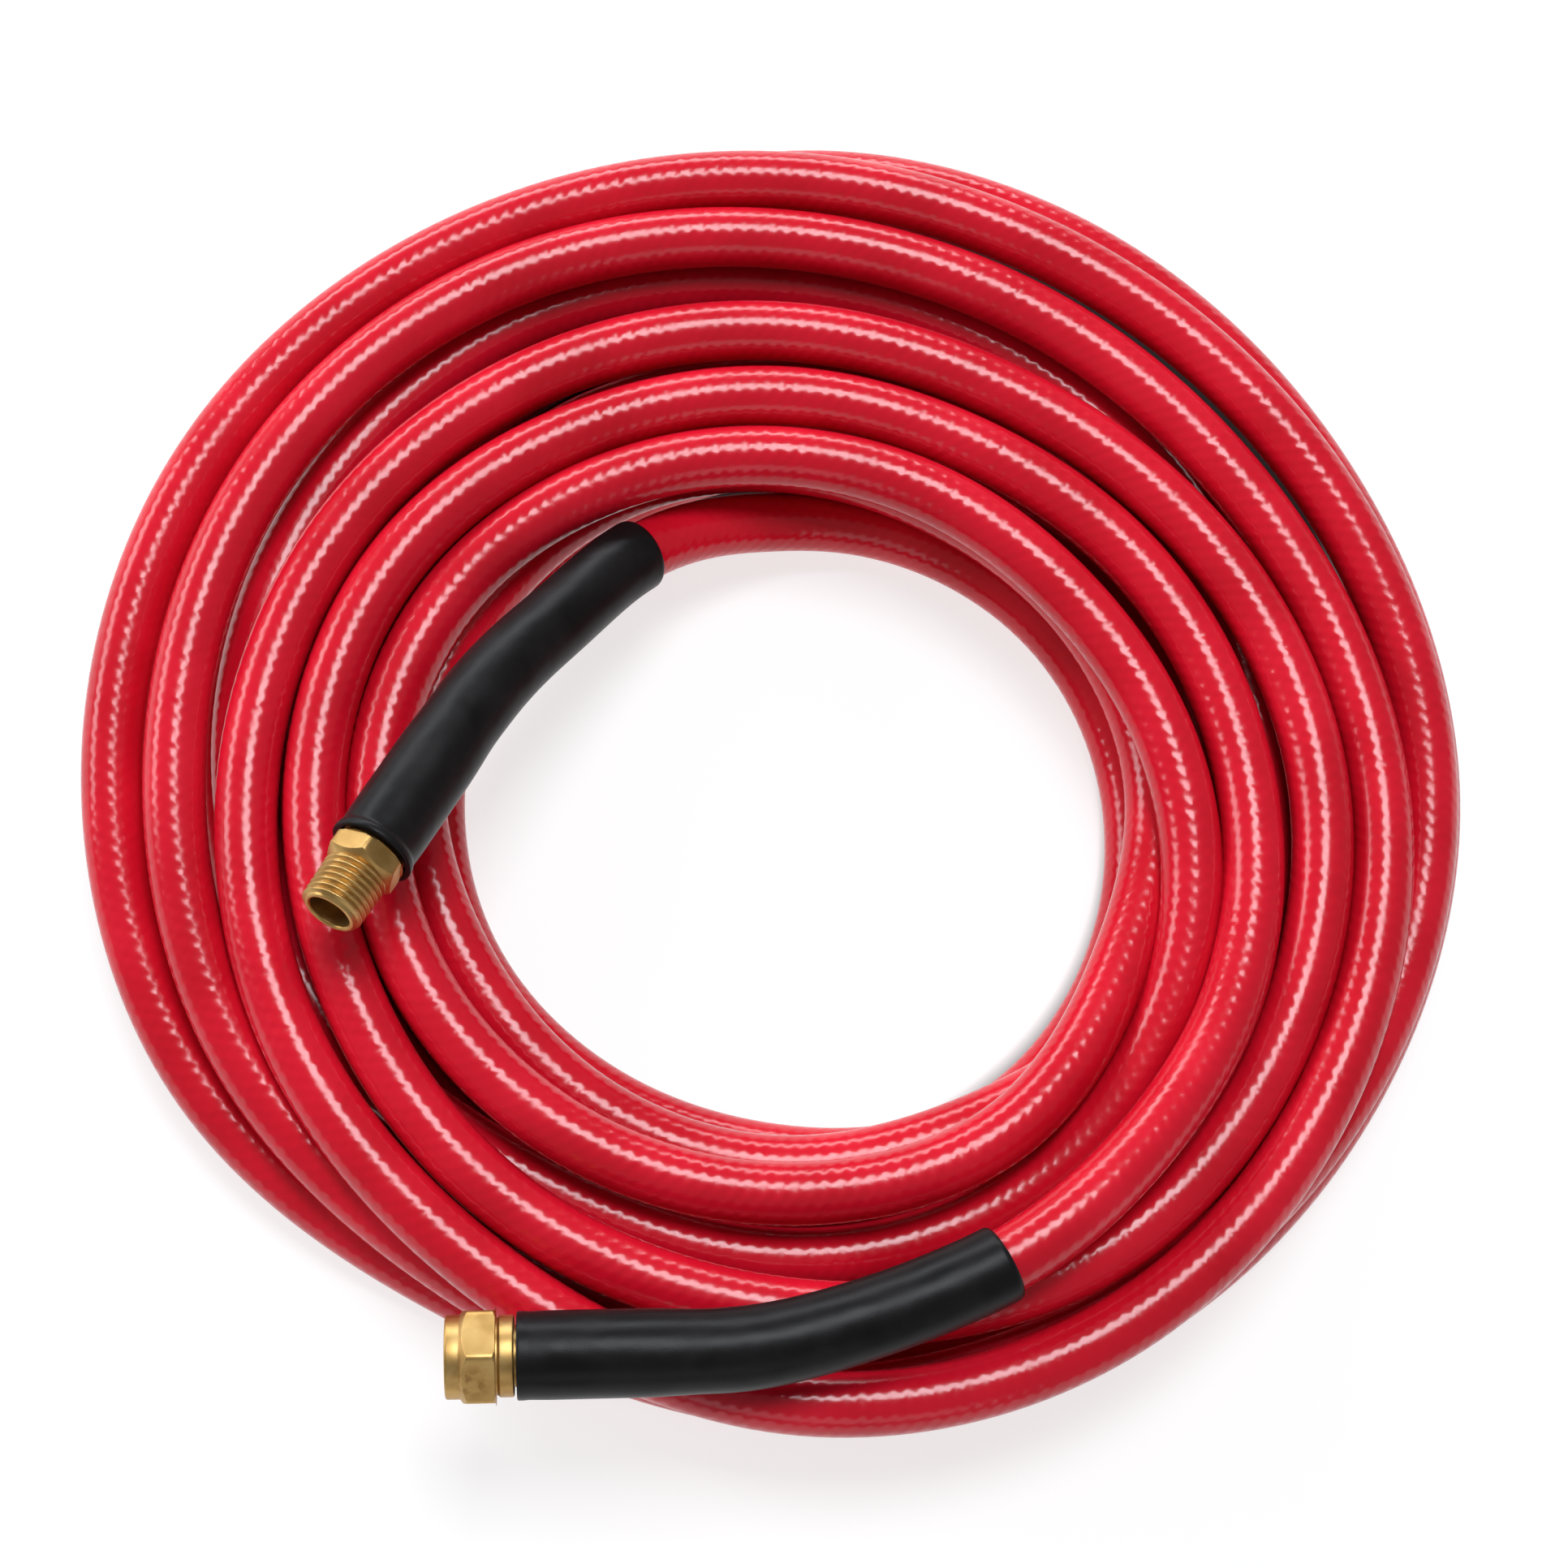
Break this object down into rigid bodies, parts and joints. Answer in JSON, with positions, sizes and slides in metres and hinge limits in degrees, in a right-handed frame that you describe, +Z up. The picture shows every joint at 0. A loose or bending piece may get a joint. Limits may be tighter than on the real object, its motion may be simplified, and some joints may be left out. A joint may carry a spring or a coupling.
{
  "type": "coiled air hose",
  "caption": "Flexible reinforced air hose wound into a flat coil, with a male taper thread fitting, a swivel nut fitting and rubber bend sleeves.",
  "frame": {"origin": "on the surface that the coil lies on, under the middle of the coil", "axes": "+Z up, square to the coil; X along the coil's longer side, so that the swivel nut points towards -X"},
  "size_m": [0.2956, 0.2846, 0.0676],
  "materials": {
    "red_vinyl": "glossy, with the braid showing through as a fine relief",
    "black_rubber": "satin",
    "brass": "turned, lightly tarnished",
    "cream_braid": "woven polyester",
    "grey_liner": "smooth extruded"
  },
  "bodies": {
    "hose": {"hose_coil": "red_vinyl", "hose_tail_male": "red_vinyl", "hose_tail_female": "red_vinyl", "hose_liner_male": "grey_liner", "hose_braid_male": "cream_braid", "hose_cover_male": "red_vinyl", "ferrule_male": "brass", "bend_sleeve_male": "black_rubber", "male_stem": "brass", "hose_liner_female": "grey_liner", "hose_braid_female": "cream_braid", "hose_cover_female": "red_vinyl", "ferrule_female": "brass", "bend_sleeve_female": "black_rubber", "female_tailpiece": "brass", "retaining_ring": "brass"},
    "nut": {"swivel_nut": "brass"}
  },
  "joints": [
    {"name": "nut_swivel", "type": "hinge", "parent": "hose", "child": "nut", "pos_m": [-0.0523, -0.1259, 0.0505], "axis": [-0.9996, -0.028, 0], "continuous": true}
  ]
}
